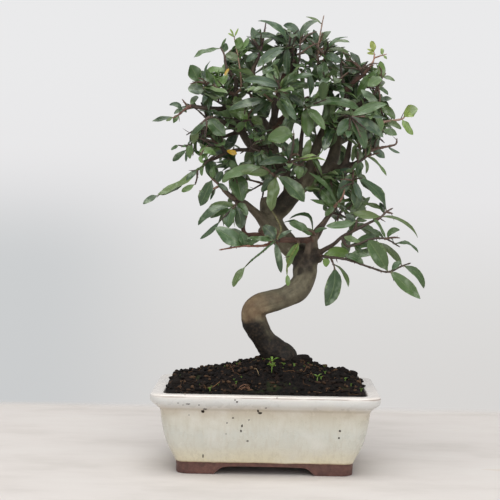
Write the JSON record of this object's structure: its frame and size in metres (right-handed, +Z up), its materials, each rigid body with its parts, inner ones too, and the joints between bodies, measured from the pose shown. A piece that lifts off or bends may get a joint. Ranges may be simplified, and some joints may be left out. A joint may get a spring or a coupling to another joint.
{
  "type": "potted bonsai tree",
  "caption": "Small pomegranate bonsai with a kinked bare trunk and a loose crown of glossy leaves, standing in soil in a shallow cream-glazed rectangular pot on unglazed feet.",
  "frame": {"origin": "On the surface that the pot stands on, under the middle of the whole object's box.", "axes": "+X to the viewer's right along the pot's long side, +Y away from the viewer, +Z up."},
  "size_m": [0.2018, 0.1374, 0.3219],
  "materials": {
    "glaze": "gloss",
    "soil": "matte",
    "bark": "matte",
    "leaf": "satin",
    "weed": "matte"
  },
  "bodies": {
    "root": {"pot": "glaze", "seedling_front": "weed", "seedling_right": "weed", "soil": "soil", "spray_back_crown": "leaf", "spray_back_left": "leaf", "spray_back_low_left": "leaf", "spray_back_low_right": "leaf", "spray_back_middle": "leaf", "spray_back_middle_right": "leaf", "spray_back_right": "leaf", "spray_back_upper_left": "leaf", "spray_back_upper_right": "leaf", "spray_centre_inner": "leaf", "spray_centre_low": "leaf", "spray_centre_right": "leaf", "spray_crown_inner": "leaf", "spray_crown_inner_left": "leaf", "spray_crown_left": "leaf", "spray_crown_left_middle": "leaf", "spray_crown_left_shoot": "leaf", "spray_crown_middle": "leaf", "spray_crown_middle_right": "leaf", "spray_crown_right": "leaf", "spray_crown_right_side": "leaf", "spray_crown_tip": "leaf", "spray_front_fork": "leaf", "spray_front_low": "leaf", "spray_front_middle": "leaf", "spray_front_right": "leaf", "spray_front_top": "leaf", "spray_left_cluster": "leaf", "spray_left_far": "leaf", "spray_left_front": "leaf", "spray_left_hanging": "leaf", "spray_left_high": "leaf", "spray_left_inner": "leaf", "spray_left_inner_high": "leaf", "spray_left_inner_low": "leaf", "spray_left_low_tip": "leaf", "spray_left_middle_tip": "leaf", "spray_left_small_front": "leaf", "spray_left_under": "leaf", "spray_right_hanging": "leaf", "spray_right_inner": "leaf", "spray_right_inner_low": "leaf", "spray_right_low_side": "leaf", "spray_right_lowest": "leaf", "spray_right_middle_low": "leaf", "spray_right_middle_tip": "leaf", "spray_right_out": "leaf", "spray_right_out_low": "leaf", "spray_right_shoot": "leaf", "spray_right_tip": "leaf", "spray_right_upper": "leaf", "spray_stub_cluster": "leaf", "spray_trunk_leaf": "leaf", "trunk": "bark"}
  },
  "joints": []
}
